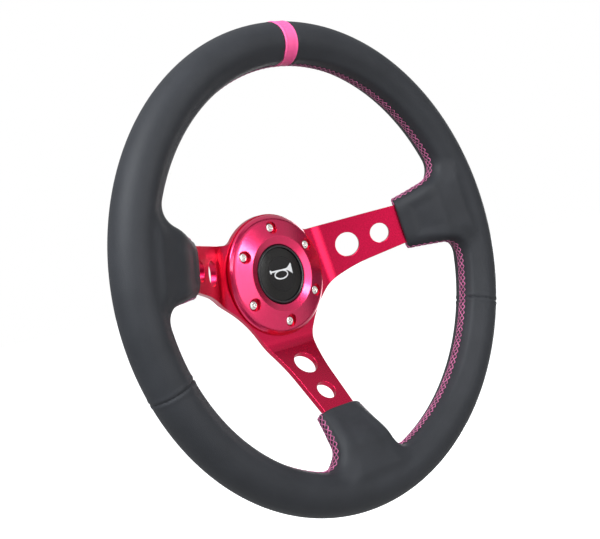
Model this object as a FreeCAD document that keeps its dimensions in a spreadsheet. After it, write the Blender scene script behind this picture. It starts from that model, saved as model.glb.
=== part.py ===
import FreeCAD, Part
import math
import os
import Sketcher

# Deep-dish three-spoke steering wheel with a sprung horn button.
# Millimetres. The origin is the centre of the hub's back face, which bolts to
# the steering boss. +Z is 12 o'clock, -Y is towards the driver, +X is 3 o'clock.

SIZES = {
    # rim
    "rim_ring_radius": 159.6,
    "rim_tube_radius": 15.4,
    "rim_depth": 60.8,
    "leather_thick": 1.2,
    "seam_drop": 20.0,
    "foam_inset": 1.5,
    "mark_width": 11.5,
    "plate_forward": 1.2,
    "core_inner": 153.0,
    "core_outer": 166.0,
    "core_thick": 4.0,
    # spoke plate
    "plate_thick": 4.5,
    "hub_radius": 46.0,
    "hub_bore": 25.0,
    "spoke_rise": 9.3,
    "spoke_slope": 37.0,
    "bend_start": 49.9,
    "bend_radius": 20.0,
    "slab_reach": 43.0,
    "spoke_end": 166.0,
    "spoke_tip": 10.0,
    "side_root_upper": 21.6,
    "side_root_lower": 17.8,
    "low_root": 18.0,
    "root_at": 50.0,
    "web_fillet": 83.0,
    "crown_fillet": 9.0,
    "inner_hole_at": 68.5,
    "inner_hole_radius": 9.3,
    "outer_hole_at": 89.8,
    "outer_hole_radius": 7.5,
    "plate_ease": 0.4,
    # rivets that hold the core ring to the spokes
    "rivet_radius": 2.5,
    "rivet_head": 4.2,
    "rivet_rise": 1.6,
    "rivet_spread": 5.5,
    "rivet_gap": 0.0,
    # horn ring and its screws
    "ring_seat_radius": 43.2,
    "ring_undercut": 0.6,
    "ring_radius": 45.0,
    "ring_land": 6.6,
    "ring_land_round": 2.5,
    "ring_shoulder": 9.9,
    "ring_shoulder_radius": 41.9,
    "ring_shoulder_round": 5.0,
    "ring_crest": 13.4,
    "ring_crest_radius": 28.2,
    "ring_crest_round": 1.2,
    "ring_throat": 11.6,
    "ring_throat_ease": 0.4,
    "ring_bore": 22.3,
    "pitch_radius": 35.0,
    "screw_count": 6,
    "sink_radius": 4.8,
    "sink_floor": 8.0,
    "clearance_radius": 2.75,
    "screw_radius": 2.5,
    "screw_neck": 2.25,
    "screw_head_radius": 4.0,
    "screw_head": 2.3,
    "screw_length": 20.0,
    "hex_across": 3.0,
    "hex_deep": 1.4,
    # horn button
    "housing_radius": 21.9,
    "housing_bore": 20.7,
    "housing_front": 8.2,
    "housing_back": 6.2,
    "flange_radius": 24.6,
    "flange_front": 3.3,
    "flange_back": 1.5,
    "gasket_inner": 22.6,
    "gasket_outer": 24.4,
    "clip_radius": 25.7,
    "clip_inner": 22.7,
    "clip_front": 1.4,
    "clip_back": 0.3,
    "groove_radius": 25.9,
    "groove_back": 0.2,
    "clip_gap": 24.0,
    "bezel_bore": 19.9,
    "bezel_front": 12.0,
    "bezel_edge": 11.2,
    "cap_radius": 19.5,
    "cap_crown": 13.0,
    "cap_sphere": 90.0,
    "cap_wall": 2.2,
    "cap_flange": 20.3,
    "cap_flange_front": 8.0,
    "cap_flange_back": 6.6,
    "cap_cavity": 16.5,
    "emblem_radius": 13.0,
    "emblem_thick": 0.5,
    "disc_radius": 15.0,
    "disc_front": 6.6,
    "disc_back": 5.8,
    "pin_radius": 3.0,
    "post_radius": 4.0,
    "post_tip": 3.7,
    "post_flange": 7.0,
    "floor_front": 3.2,
    "floor_back": 5.4,
    "floor_radius": 20.5,
    "lip_bore": 19.4,
    "spring_mean": 12.6,
    "spring_wire": 0.6,
    "spring_turns": 4.5,
    "seat_inner": 10.5,
    "seat_outer": 15.0,
    "seat_thick": 0.8,
    "blade_offset": 12.5,
    "blade_width": 6.3,
    "blade_thick": 0.8,
    "blade_length": 9.0,
    # stitching along the rim's inner side, kept clear of the spokes' sleeves
    "lacing_clear": 13.5,
    "lacing_reach": 22.0,
    "lacing_thick": 0.8,
    "lacing_lift": 0.05,
}

# Cross-sections of a spoke sleeve: radius from the hub's axis, half width,
# depth of its centre in front of the hub's back face, half thickness, and how
# far the two side spokes' sleeves sit above their spokes' centre lines.
SLEEVE = (
    (101.5, 19.0, 40.6, 6.9, 1.2),
    (106.0, 20.2, 44.0, 7.7, 1.2),
    (114.0, 21.6, 50.0, 8.8, 1.2),
    (128.0, 23.2, 58.2, 9.8, 1.2),
    (139.0, 25.6, 60.6, 11.0, 1.2),
    (150.0, 31.0, 60.8, 10.0, 1.2),
)

doc = FreeCAD.newDocument("steering_wheel")
sheet = doc.addObject("Spreadsheet::Sheet", "dims")
for row, (alias, size) in enumerate(SIZES.items(), start=1):
    sheet.set(f"A{row}", alias)
    sheet.set(f"B{row}", str(size))
    sheet.setAlias(f"B{row}", alias)
doc.recompute()


def dim(alias):
    return float(sheet.get(alias))


def amount(text):
    """The number that a sum of aliases and numbers comes to."""
    total = 0.0
    sign = 1.0
    for word in text.split():
        if word in "+-":
            sign = 1.0 if word == "+" else -1.0
            continue
        total += sign * (dim(word) if word in SIZES else float(word))
        sign = 1.0
    return total


def formula(text):
    """The same sum as an expression on the spreadsheet."""
    return " ".join("dims." + word if word in SIZES else word for word in text.split())


SPOKES = {
    "right": dim("spoke_rise"),
    "left": 180.0 - dim("spoke_rise"),
    "low": 270.0,
}


def around(angle, radial, sideways=0.0):
    """X and Z of a point: radial along the direction, sideways to its left."""
    turn = math.radians(angle)
    return (
        radial * math.cos(turn) - sideways * math.sin(turn),
        radial * math.sin(turn) + sideways * math.cos(turn),
    )


def rim_front():
    """Depth of the spoke plate's front face under the rim."""
    return dim("rim_depth") + dim("plate_forward")


# ---------------------------------------------------------------- helpers


def new_body(label):
    body = doc.addObject("PartDesign::Body", label)
    body.Label = label
    return body


def new_sketch(body, name, role, offset=None):
    sketch = body.newObject("Sketcher::SketchObject", name)
    plane = next(item for item in body.Origin.OriginFeatures if item.Role == role)
    sketch.AttachmentSupport = [(plane, "")]
    sketch.MapMode = "FlatFace"
    if offset is not None:
        sketch.AttachmentOffset = offset
    return sketch


def front_offset(depth):
    """Moves a sketch on the XZ plane to a depth in front of the back face."""
    return FreeCAD.Placement(FreeCAD.Vector(0, 0, depth), FreeCAD.Rotation())


def bind(sketch, kind, where, text):
    """Adds one size to a sketch and ties it to the spreadsheet."""
    index = sketch.addConstraint(Sketcher.Constraint(kind, *where, amount(text)))
    sketch.setExpression(f"Constraints[{index}]", formula(text))


def pin_point(sketch, edge, end, across, up):
    """Places one end of an edge by two sums measured from the origin."""
    for kind, text, axis in (("DistanceX", across, -2), ("DistanceY", up, -1)):
        if text == "0":
            sketch.addConstraint(Sketcher.Constraint("PointOnObject", edge, end, axis))
        else:
            bind(sketch, kind, (-1, 1, edge, end), text)


def polygon(sketch, corners):
    """Closed outline of straight edges whose corners are sums of aliases."""
    first = sketch.GeometryCount
    spots = [FreeCAD.Vector(amount(across), amount(up), 0) for across, up in corners]
    count = len(spots)
    for index in range(count):
        sketch.addGeometry(Part.LineSegment(spots[index], spots[(index + 1) % count]))
    for index in range(count):
        following = first + (index + 1) % count
        sketch.addConstraint(Sketcher.Constraint("Coincident", first + index, 2, following, 1))
    for index, (across, up) in enumerate(corners):
        pin_point(sketch, first + index, 1, across, up)


def circle(sketch, radius, across=0.0, up=0.0):
    """Circle with its radius tied to the spreadsheet."""
    centre = FreeCAD.Vector(across, up, 0)
    index = sketch.addGeometry(Part.Circle(centre, FreeCAD.Vector(0, 0, 1), amount(radius)))
    bind(sketch, "Radius", (index,), radius)
    return index


def loop(sketch, edges):
    """Closed outline of ready edges, joined end to end."""
    indices = [sketch.addGeometry(edge) for edge in edges]
    for place, index in enumerate(indices):
        following = indices[(place + 1) % len(indices)]
        ends = [
            (mine, theirs)
            for mine in (1, 2)
            for theirs in (1, 2)
            if sketch.getPoint(index, mine).distanceToPoint(sketch.getPoint(following, theirs)) < 1e-5
        ]
        sketch.addConstraint(Sketcher.Constraint("Coincident", index, ends[0][0], following, ends[0][1]))


def rounded(corners):
    """Edges of a closed outline whose corners (x, y, radius) are rounded."""
    arcs = []
    count = len(corners)
    for index, (across, up, radius) in enumerate(corners):
        here = FreeCAD.Vector(across, up, 0)
        before = FreeCAD.Vector(*corners[index - 1][:2], 0) - here
        after = FreeCAD.Vector(*corners[(index + 1) % count][:2], 0) - here
        half = before.getAngle(after) / 2
        before.normalize()
        after.normalize()
        if radius == 0:
            arcs.append((here, None, here))
            continue
        reach = radius / math.tan(half)
        centre = here + (before + after).normalize() * (radius / math.sin(half))
        middle = centre + (here - centre).normalize() * radius
        arcs.append((here + before * reach, middle, here + after * reach))
    edges = []
    for index, (start, middle, end) in enumerate(arcs):
        if middle is not None:
            edges.append(Part.Arc(start, middle, end))
        edges.append(Part.LineSegment(end, arcs[(index + 1) % count][0]))
    return edges


def pad(body, sketch, name, length, symmetric=False):
    feature = body.newObject("PartDesign::Pad", name)
    feature.Profile = sketch
    feature.Length = amount(length)
    feature.setExpression("Length", formula(length))
    if symmetric:
        feature.SideType = "Symmetric"
    return feature


def pocket(body, sketch, name, length=None, symmetric=False):
    """Cut behind a sketch, through everything when it has no length."""
    feature = body.newObject("PartDesign::Pocket", name)
    feature.Profile = sketch
    if length is None:
        feature.Type = "ThroughAll"
    else:
        feature.Length = amount(length)
        feature.setExpression("Length", formula(length))
    if symmetric:
        feature.SideType = "Symmetric"
    return feature


def turn_about_y(body, sketch, name, kind="PartDesign::Revolution", degrees=360.0):
    """Turns a YZ sketch about the wheel's axis."""
    feature = body.newObject(kind, name)
    feature.Profile = sketch
    feature.ReferenceAxis = (sketch, ["H_Axis"])
    feature.Angle = degrees
    return feature


def repeat(body, feature, sketch, name, alias):
    """Repeats a feature evenly about the wheel's axis."""
    pattern = body.newObject("PartDesign::PolarPattern", name)
    pattern.Originals = [feature]
    pattern.Axis = (sketch, ["N_Axis"])
    pattern.Angle = 360
    pattern.Occurrences = int(dim(alias))
    pattern.setExpression("Occurrences", formula(alias))
    body.Tip = pattern
    return pattern


def turned_body(label, corners):
    """A body of one profile turned about the wheel's axis."""
    body = new_body(label)
    sketch = new_sketch(body, label + "_profile", "YZ_Plane")
    polygon(sketch, corners)
    turn_about_y(body, sketch, label + "_turn")
    return body


def combine(kind, name, first, *others):
    """Part boolean of objects that already exist."""
    result = doc.addObject("Part::" + kind, name)
    if kind == "Cut":
        result.Base = first
        result.Tool = others[0]
    else:
        result.Shapes = [first, *others]
    return result


def sharp_edges(shape, keep):
    """Names of the edges with more than 45 degrees between their faces, where keep says so."""
    names = []
    for number, edge in enumerate(shape.Edges, start=1):
        faces = shape.ancestorsOfType(edge, Part.Face)
        if len(faces) != 2:
            continue
        middle = edge.valueAt((edge.FirstParameter + edge.LastParameter) / 2)
        first, second = (face.normalAt(*face.Surface.parameter(middle)) for face in faces)
        if first.getAngle(second) > math.radians(45) and keep(middle):
            names.append(f"Edge{number}")
    return names


def ease_edges(body, name, radius, keep):
    """Rounds a body's sharp edges a little where keep says so."""
    doc.recompute()
    last = body.Tip
    fillet = body.newObject("PartDesign::Fillet", name)
    fillet.Base = (last, sharp_edges(last.Shape, keep))
    fillet.Radius = dim(radius)
    fillet.setExpression("Radius", formula(radius))


def torus(name, ring, tube):
    """Ring round the wheel's axis at the rim's depth, radii as sums."""
    ring_object = doc.addObject("Part::Torus", name)
    ring_object.setExpression("Radius1", formula(ring))
    ring_object.setExpression("Radius2", formula(tube))
    ring_object.Placement = FreeCAD.Placement(
        FreeCAD.Vector(0, -dim("rim_depth"), 0),
        FreeCAD.Rotation(FreeCAD.Vector(1, 0, 0), 90),
    )
    return ring_object


# ---------------------------------------------------------------- spoke plate


def edge_width(root, radial):
    """Half width of a spoke's straight taper at a radius."""
    fall = (dim(root) - dim("spoke_tip")) / (dim("spoke_end") - dim("root_at"))
    return dim(root) - fall * (radial - dim("root_at"))


def edge_line(angle, root, side):
    """Start and direction of a spoke's edge in the front view."""
    near = FreeCAD.Vector(*around(angle, 0.0, side * edge_width(root, 0.0)), 0)
    far = FreeCAD.Vector(*around(angle, dim("spoke_end"), side * dim("spoke_tip")), 0)
    return near, (far - near).normalize()


def crossing(first, second):
    """Point where two lines of the front view meet."""
    (start, way), (other, other_way) = first, second
    spread = way.x * other_way.y - way.y * other_way.x
    gap = other - start
    return start + way * ((gap.x * other_way.y - gap.y * other_way.x) / spread)


def crown_fillet(angle, side):
    """Small fillet from the hub's round crown to a side spoke's upper edge."""
    start, way = edge_line(angle, "side_root_upper", side)
    outward = FreeCAD.Vector(-way.y, way.x, 0) * side
    radius = dim("crown_fillet")
    base = start + outward * radius
    along = base.dot(way)
    reach = dim("hub_radius") + radius
    travel = -along + math.sqrt(along * along - base.dot(base) + reach * reach)
    centre = base + way * travel
    on_edge = centre - outward * radius
    on_hub = centre * (dim("hub_radius") / reach)
    middle = centre + ((on_edge + on_hub) * 0.5 - centre).normalize() * radius
    return on_edge, middle, on_hub


def plate_outline():
    """Front view of the plate: hub crown, three spokes and two broad webs."""
    right, left, low = SPOKES["right"], SPOKES["left"], SPOKES["low"]
    end, tip = dim("spoke_end"), dim("spoke_tip")
    web_right = crossing(edge_line(right, "side_root_lower", -1), edge_line(low, "low_root", 1))
    web_left = crossing(edge_line(left, "side_root_lower", 1), edge_line(low, "low_root", -1))
    right_edge, right_middle, right_hub = crown_fillet(right, 1)
    left_edge, left_middle, left_hub = crown_fillet(left, -1)
    corners = [
        (*around(left, end, -tip), 0),
        (*around(left, end, tip), 0),
        (web_left.x, web_left.y, dim("web_fillet")),
        (*around(low, end, -tip), 0),
        (*around(low, end, tip), 0),
        (web_right.x, web_right.y, dim("web_fillet")),
        (*around(right, end, -tip), 0),
        (*around(right, end, tip), 0),
    ]
    edges = rounded(corners)[:-1]
    crown_top = FreeCAD.Vector(0, dim("hub_radius"), 0)
    right_tip = FreeCAD.Vector(*around(right, end, tip), 0)
    left_tip = FreeCAD.Vector(*around(left, end, -tip), 0)
    edges.append(Part.LineSegment(right_tip, right_edge))
    edges.append(Part.Arc(right_edge, right_middle, right_hub))
    edges.append(Part.Arc(right_hub, crown_top, left_hub))
    edges.append(Part.Arc(left_hub, left_middle, left_edge))
    edges.append(Part.LineSegment(left_edge, left_tip))
    return edges


def spoke_profile():
    """Side view of one bent spoke as corners (Y, radius, bend radius)."""
    thick = dim("plate_thick")
    start, end = dim("bend_start"), dim("spoke_end")
    slope = math.radians(dim("spoke_slope"))
    back_shift = thick * math.tan(slope / 2)
    front = rim_front()
    rise_end = start + (front - thick) / math.tan(slope)
    tight = dim("bend_radius") - thick / 2
    wide = dim("bend_radius") + thick / 2
    inside = dim("slab_reach") - 1
    return (
        (0, inside, 0),
        (-thick, inside, 0),
        (-thick, start, tight),
        (-front, rise_end, wide),
        (-front, end, 0),
        (thick - front, end, 0),
        (thick - front, rise_end + back_shift, tight),
        (0, start + back_shift, wide),
    )


def slab_corners():
    """Flat middle of the plate, as far as the spokes' bends."""
    reach = dim("slab_reach")
    lines = {}
    for name, angle in SPOKES.items():
        point = FreeCAD.Vector(*around(angle, reach), 0)
        way = FreeCAD.Vector(*around(angle, 0, 1), 0)
        lines[name] = (point, way)
    top = (FreeCAD.Vector(0, dim("hub_radius") + 10, 0), FreeCAD.Vector(1, 0, 0))
    spots = (
        crossing(lines["right"], top),
        crossing(lines["left"], top),
        crossing(lines["left"], lines["low"]),
        crossing(lines["right"], lines["low"]),
    )
    return [(spot.x, spot.y, 0) for spot in spots]


def slope_place(angle, radial):
    """Middle of a spoke's sloped sheet, with X outward along the sheet and Z square to it."""
    slope, turn = math.radians(dim("spoke_slope")), math.radians(angle)
    middle = dim("plate_thick") / 2 / math.cos(slope)
    depth = dim("plate_thick") + (radial - dim("bend_start")) * math.tan(slope) - middle
    across, up = around(angle, radial)
    outward = FreeCAD.Vector(
        math.cos(turn) * math.cos(slope), -math.sin(slope), math.sin(turn) * math.cos(slope)
    )
    sideways = FreeCAD.Vector(-math.sin(turn), 0, math.cos(turn))
    facing = FreeCAD.Rotation(outward, sideways, outward.cross(sideways))
    return FreeCAD.Placement(FreeCAD.Vector(across, -depth, up), facing)


def make_spoke_plate():
    """Hub and spokes pressed from one sheet, bent forward into a deep dish."""
    body = new_body("spoke_plate")
    sketch = new_sketch(body, "slab_outline", "XZ_Plane")
    loop(sketch, rounded(slab_corners()))
    pad(body, sketch, "slab", "plate_thick")
    for name, angle in SPOKES.items():
        spin = FreeCAD.Rotation(FreeCAD.Vector(1, 0, 0), 90 - angle)
        side = new_sketch(body, name + "_profile", "YZ_Plane", FreeCAD.Placement(FreeCAD.Vector(), spin))
        loop(side, rounded(spoke_profile()))
        pad(body, side, name + "_strip", "hub_radius + hub_radius", symmetric=True)
    doc.recompute()
    trim = new_sketch(body, "plate_outline", "XZ_Plane", front_offset(100))
    far = dim("spoke_end") * 1.6
    loop(trim, rounded([(-far, -far, 0), (far, -far, 0), (far, far, 0), (-far, far, 0)]))
    loop(trim, plate_outline())
    pocket(body, trim, "trim_to_outline")
    bore = new_sketch(body, "bore_outline", "XZ_Plane", front_offset(100))
    circle(bore, "hub_bore")
    for angle in SPOKES.values():
        for side in (-1, 1):
            place = around(angle, dim("rim_ring_radius"), side * dim("rivet_spread"))
            circle(bore, "rivet_radius + rivet_gap", *place)
    pocket(body, bore, "bore_and_rivet_holes")
    for name, angle in SPOKES.items():
        for size in ("inner_hole", "outer_hole"):
            label = f"{name}_{size}"
            drill = new_sketch(body, label + "_outline", "XY_Plane", slope_place(angle, dim(size + "_at")))
            circle(drill, size + "_radius")
            pocket(body, drill, label, "plate_thick + plate_thick", symmetric=True)
    groove = new_sketch(body, "clip_groove_profile", "YZ_Plane")
    polygon(groove, (
        ("- clip_front", "hub_bore - 1"),
        ("- groove_back", "hub_bore - 1"),
        ("- groove_back", "groove_radius"),
        ("- clip_front", "groove_radius"),
    ))
    turn_about_y(body, groove, "clip_groove", "PartDesign::Groove")
    screws = new_sketch(body, "screw_hole_outline", "XZ_Plane", front_offset(100))
    circle(screws, "clearance_radius", 0, dim("pitch_radius"))
    hole = pocket(body, screws, "screw_hole")
    repeat(body, hole, screws, "screw_holes", "screw_count")

    def bare(spot):
        """True outside the horn's bore and short of the rim's padding."""
        return dim("hub_bore") + 2 < math.hypot(spot.x, spot.z) < dim("core_inner") - 13

    ease_edges(body, "eased_edges", "plate_ease", bare)
    return body


# ---------------------------------------------------------------- rim


def make_rim_core():
    """Flat metal ring inside the rim, riveted to the front of the spokes."""
    body = new_body("rim_core")
    sketch = new_sketch(body, "core_outline", "XZ_Plane", front_offset(rim_front()))
    circle(sketch, "core_outer")
    circle(sketch, "core_inner")
    for angle in SPOKES.values():
        for side in (-1, 1):
            place = around(angle, dim("rim_ring_radius"), side * dim("rivet_spread"))
            circle(sketch, "rivet_radius + rivet_gap", *place)
    pad(body, sketch, "core", "core_thick")
    return body


def make_rivet(name, across, up):
    """One rivet with a low head on each side of its two plates."""
    front = rim_front() + dim("core_thick")
    back = rim_front() - dim("plate_thick")
    body = new_body(name)
    profile = new_sketch(body, name + "_profile", "YZ_Plane")
    head, shank, rise = dim("rivet_head"), dim("rivet_radius"), dim("rivet_rise")
    loop(profile, rounded([
        (-front - rise, 0, 0),
        (-front - rise, head, rise * 0.8),
        (-front, head, 0),
        (-front, shank, 0),
        (-back, shank, 0),
        (-back, head, 0),
        (-back + rise, head, rise * 0.8),
        (-back + rise, 0, 0),
    ]))
    turn_about_y(body, profile, name + "_turn")
    body.Placement = FreeCAD.Placement(FreeCAD.Vector(across, 0, up), FreeCAD.Rotation())
    return body


def make_core_rivets():
    rivets = []
    for name, angle in SPOKES.items():
        for side, hand in ((-1, "a"), (1, "b")):
            place = around(angle, dim("rim_ring_radius"), side * dim("rivet_spread"))
            rivets.append(make_rivet(f"rivet_{name}_{hand}", *place))
    group = doc.addObject("Part::Compound", "core_rivets")
    group.Links = rivets
    return group


def sleeve_section(name, angle, section, shrink):
    """One rounded cross-section of a spoke sleeve, square to the spoke."""
    radial, half_width, depth, half_thick, lift = section
    sketch = doc.addObject("Sketcher::SketchObject", name)
    width = half_width - shrink
    thick = half_thick - shrink
    shoulder, flank = width - 8, thick * 0.3
    loop(sketch, rounded([
        (-width, -flank, 2.5),
        (-shoulder, -thick, 6),
        (shoulder, -thick, 6),
        (width, -flank, 2.5),
        (width, flank, 2.5),
        (shoulder, thick, 6),
        (-shoulder, thick, 6),
        (-width, flank, 2.5),
    ]))
    turn = math.radians(angle)
    across, up = around(angle, radial, lift * math.cos(turn))
    sideways = FreeCAD.Vector(-math.sin(turn), 0, math.cos(turn))
    backward = FreeCAD.Vector(0, 1, 0)
    facing = FreeCAD.Rotation(sideways, backward, sideways.cross(backward))
    sketch.Placement = FreeCAD.Placement(FreeCAD.Vector(across, -depth, up), facing)
    return sketch


def make_sleeve(name, angle, shrink, end_inset):
    """Padded sleeve from a spoke's bare part into the rim."""
    first = (SLEEVE[0][0] + end_inset, *SLEEVE[0][1:])
    sections = [first, *SLEEVE[1:]]
    sketches = [
        sleeve_section(f"{name}_{place}", angle, section, shrink)
        for place, section in enumerate(sections)
    ]
    loft = doc.addObject("Part::Loft", name)
    loft.Sections = sketches
    loft.Solid = True
    return loft


def rim_envelope(name, tube, shrink, end_inset):
    """Rim tube and its three sleeves as one solid."""
    ring = torus(name + "_ring", "rim_ring_radius", tube)
    sleeves = [
        make_sleeve(f"{name}_sleeve_{spoke}", angle, shrink, end_inset)
        for spoke, angle in SPOKES.items()
    ]
    return combine("MultiFuse", name, ring, *sleeves)


def wedge(name, start, end, reach=230.0):
    """Sector of the front view, from one angle round to another, full depth."""
    body = new_body(name)
    sketch = new_sketch(body, name + "_outline", "XZ_Plane", front_offset(-10))
    steps = max(1, math.ceil((end - start) / 60.0))
    angles = [start + (end - start) * step / steps for step in range(steps + 1)]
    corners = [(0.0, 0.0, 0)] + [(*around(angle, reach), 0) for angle in angles]
    loop(sketch, rounded(corners))
    pad(body, sketch, name + "_pad", "rim_depth + rim_depth")
    return body


def make_lacing(label, start, end):
    """Raised strip of stitches along the inner side of the rim."""
    body = new_body(label)
    centre = dim("rim_ring_radius")
    inner = dim("rim_tube_radius") + dim("lacing_lift")
    outer = inner + dim("lacing_thick")
    spread = math.radians(dim("lacing_reach"))
    sketch = new_sketch(
        body,
        label + "_profile",
        "YZ_Plane",
        FreeCAD.Placement(FreeCAD.Vector(), FreeCAD.Rotation(FreeCAD.Vector(1, 0, 0), 90 - (start + end) / 2)),
    )

    def spot(radius, angle):
        depth = -dim("rim_depth") + radius * math.sin(angle)
        return FreeCAD.Vector(depth, centre - radius * math.cos(angle), 0)

    loop(sketch, [
        Part.Arc(spot(outer, -spread), spot(outer, 0), spot(outer, spread)),
        Part.LineSegment(spot(outer, spread), spot(inner, spread)),
        Part.Arc(spot(inner, spread), spot(inner, 0), spot(inner, -spread)),
        Part.LineSegment(spot(inner, -spread), spot(outer, -spread)),
    ])
    feature = turn_about_y(body, sketch, label + "_turn", degrees=end - start)
    feature.Midplane = True
    return body


def make_centre_mark():
    """Bright leather band stitched round the rim at 12 o'clock."""
    body = new_body("centre_mark")
    sketch = new_sketch(body, "mark_profile", "YZ_Plane")
    centre = FreeCAD.Vector(-dim("rim_depth"), dim("rim_ring_radius"), 0)
    normal = FreeCAD.Vector(0, 0, 1)
    for radius in ("rim_tube_radius", "rim_tube_radius - leather_thick"):
        index = sketch.addGeometry(Part.Circle(centre, normal, amount(radius)))
        bind(sketch, "Radius", (index,), radius)
    sweep = math.degrees(dim("mark_width") / (dim("rim_ring_radius") + dim("rim_tube_radius")))
    feature = turn_about_y(body, sketch, "mark_turn", degrees=sweep)
    feature.Midplane = True
    return body, sweep


def make_rim_cover(plate, core, rivets):
    """Foam, the three pieces of leather, the centre mark and the lacing."""
    skin = rim_envelope("leather_outside", "rim_tube_radius", 0.0, 0.0)
    foam_tube = "rim_tube_radius - leather_thick"
    foam_form = rim_envelope("foam_outside", foam_tube, dim("leather_thick"), dim("foam_inset"))
    metal = combine("MultiFuse", "metal_inside", plate, core, rivets)
    foam = combine("Cut", "rim_foam", foam_form, metal)
    mark, sweep = make_centre_mark()
    hollow = combine("Cut", "leather_tube", skin, foam_form)
    leather = combine("Cut", "leather_all", hollow, plate)
    seam = dim("seam_drop")
    spans = {
        "leather_upper_right": (-seam, 90 - sweep / 2),
        "leather_upper_left": (90 + sweep / 2, 180 + seam),
        "leather_lower": (180 + seam, 360 - seam),
    }
    made = [foam, mark]
    for name, (start, end) in spans.items():
        made.append(combine("MultiCommon", name, leather, wedge(name + "_sector", start, end)))
    clear = dim("lacing_clear")
    made.append(make_lacing("lacing_upper", SPOKES["right"] + clear, SPOKES["left"] - clear))
    made.append(make_lacing("lacing_lower_left", SPOKES["left"] + clear, SPOKES["low"] - clear))
    made.append(make_lacing("lacing_lower_right", SPOKES["low"] + clear, 360 + SPOKES["right"] - clear))
    return made


# ---------------------------------------------------------------- horn ring and screws


def make_trim_ring():
    """Turned ring that clamps the horn button, with six sunk screw seats."""
    body = new_body("trim_ring")
    profile = new_sketch(body, "ring_profile", "YZ_Plane")
    seat, bore, ease = dim("plate_thick"), dim("ring_bore"), dim("ring_throat_ease")
    loop(profile, rounded([
        (-seat, bore, 0),
        (-seat, dim("ring_seat_radius"), 0),
        (-seat - dim("ring_undercut"), dim("ring_radius"), 0),
        (-dim("ring_land"), dim("ring_radius"), dim("ring_land_round")),
        (-dim("ring_shoulder"), dim("ring_shoulder_radius"), dim("ring_shoulder_round")),
        (-dim("ring_crest"), dim("ring_crest_radius"), dim("ring_crest_round")),
        (-dim("ring_throat"), bore + ease, 0.6),
        (-dim("ring_throat") + ease, bore, 0),
    ]))
    turn_about_y(body, profile, "ring_turn")
    sink = new_sketch(body, "sink_outline", "XZ_Plane", front_offset(20))
    circle(sink, "sink_radius", 0, dim("pitch_radius"))
    seat = pocket(body, sink, "screw_seat", "20 - sink_floor")
    repeat(body, seat, sink, "screw_seats", "screw_count")
    drill = new_sketch(body, "drill_outline", "XZ_Plane", front_offset(20))
    circle(drill, "clearance_radius", 0, dim("pitch_radius"))
    hole = pocket(body, drill, "screw_drilling")
    repeat(body, hole, drill, "screw_drillings", "screw_count")
    return body


def make_screw(name, across, up):
    """Button-head socket screw through the ring and plate into the boss."""
    body = new_body(name)
    seat = dim("sink_floor")
    head, rise = dim("screw_head_radius"), dim("screw_head")
    shank, neck = dim("screw_radius"), dim("screw_neck")
    tip = dim("screw_length") - seat
    profile = new_sketch(body, name + "_profile", "YZ_Plane")
    loop(profile, rounded([
        (-seat - rise, 0, 0),
        (-seat - rise, head * 0.72, 1.0),
        (-seat - rise * 0.35, head, 0.5),
        (-seat, head, 0),
        (-seat, neck, 0),
        (0, neck, 0),
        (0, shank, 0),
        (tip - 0.6, shank, 0),
        (tip, shank - 0.6, 0),
        (tip, 0, 0),
    ]))
    turn_about_y(body, profile, name + "_turn")
    socket = new_sketch(body, name + "_socket_outline", "XZ_Plane", front_offset(seat + rise + 1))
    reach = dim("hex_across") / math.sqrt(3)
    loop(socket, rounded([
        (reach * math.cos(math.radians(60 * side)), reach * math.sin(math.radians(60 * side)), 0)
        for side in range(6)
    ]))
    pocket(body, socket, name + "_socket", "hex_deep + 1")
    body.Placement = FreeCAD.Placement(FreeCAD.Vector(across, 0, up), FreeCAD.Rotation())
    return body


def make_hub_screws():
    count = int(dim("screw_count"))
    screws = []
    for place in range(count):
        spot = around(90 + 360 * place / count, dim("pitch_radius"))
        screws.append(make_screw(f"screw_{place}", *spot))
    group = doc.addObject("Part::Compound", "hub_screws")
    group.Links = screws
    return group


# ---------------------------------------------------------------- horn button


def make_horn_housing():
    """Moulded barrel of the horn button, with a flange behind the ring."""
    return turned_body("horn_housing", (
        ("- housing_front", "housing_bore"),
        ("- housing_front", "housing_radius"),
        ("- flange_front", "housing_radius"),
        ("- flange_front", "flange_radius"),
        ("- flange_back", "flange_radius"),
        ("- flange_back", "housing_radius"),
        ("housing_back", "housing_radius"),
        ("housing_back", "lip_bore"),
        ("floor_back", "lip_bore"),
        ("floor_back", "housing_bore"),
    ))


def make_gasket():
    """Rubber washer between the ring and the horn housing's flange."""
    return turned_body("housing_gasket", (
        ("- plate_thick", "gasket_inner"),
        ("- plate_thick", "gasket_outer"),
        ("- flange_front", "gasket_outer"),
        ("- flange_front", "gasket_inner"),
    ))


def make_retaining_ring():
    """Open spring ring in the plate's groove, behind the flange."""
    body = new_body("retaining_ring")
    sketch = new_sketch(body, "clip_profile", "YZ_Plane")
    polygon(sketch, (
        ("- clip_front", "clip_inner"),
        ("- clip_front", "clip_radius"),
        ("- clip_back", "clip_radius"),
        ("- clip_back", "clip_inner"),
    ))
    feature = turn_about_y(body, sketch, "clip_turn", degrees=360 - dim("clip_gap"))
    feature.setExpression("Angle", "360 - dims.clip_gap")
    feature.Midplane = True
    return body


def make_bezel():
    """Black ring that holds the horn cap in its housing."""
    body = new_body("horn_bezel")
    profile = new_sketch(body, "bezel_profile", "YZ_Plane")
    outer, bore = dim("housing_radius"), dim("bezel_bore")
    loop(profile, rounded([
        (-dim("housing_front"), bore, 0),
        (-dim("housing_front"), outer, 0),
        (-dim("bezel_edge"), outer, 0.5),
        (-dim("bezel_front"), outer - 0.9, 0.4),
        (-dim("bezel_front") + 0.3, bore, 0.3),
    ]))
    turn_about_y(body, profile, "bezel_turn")
    return body


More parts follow.
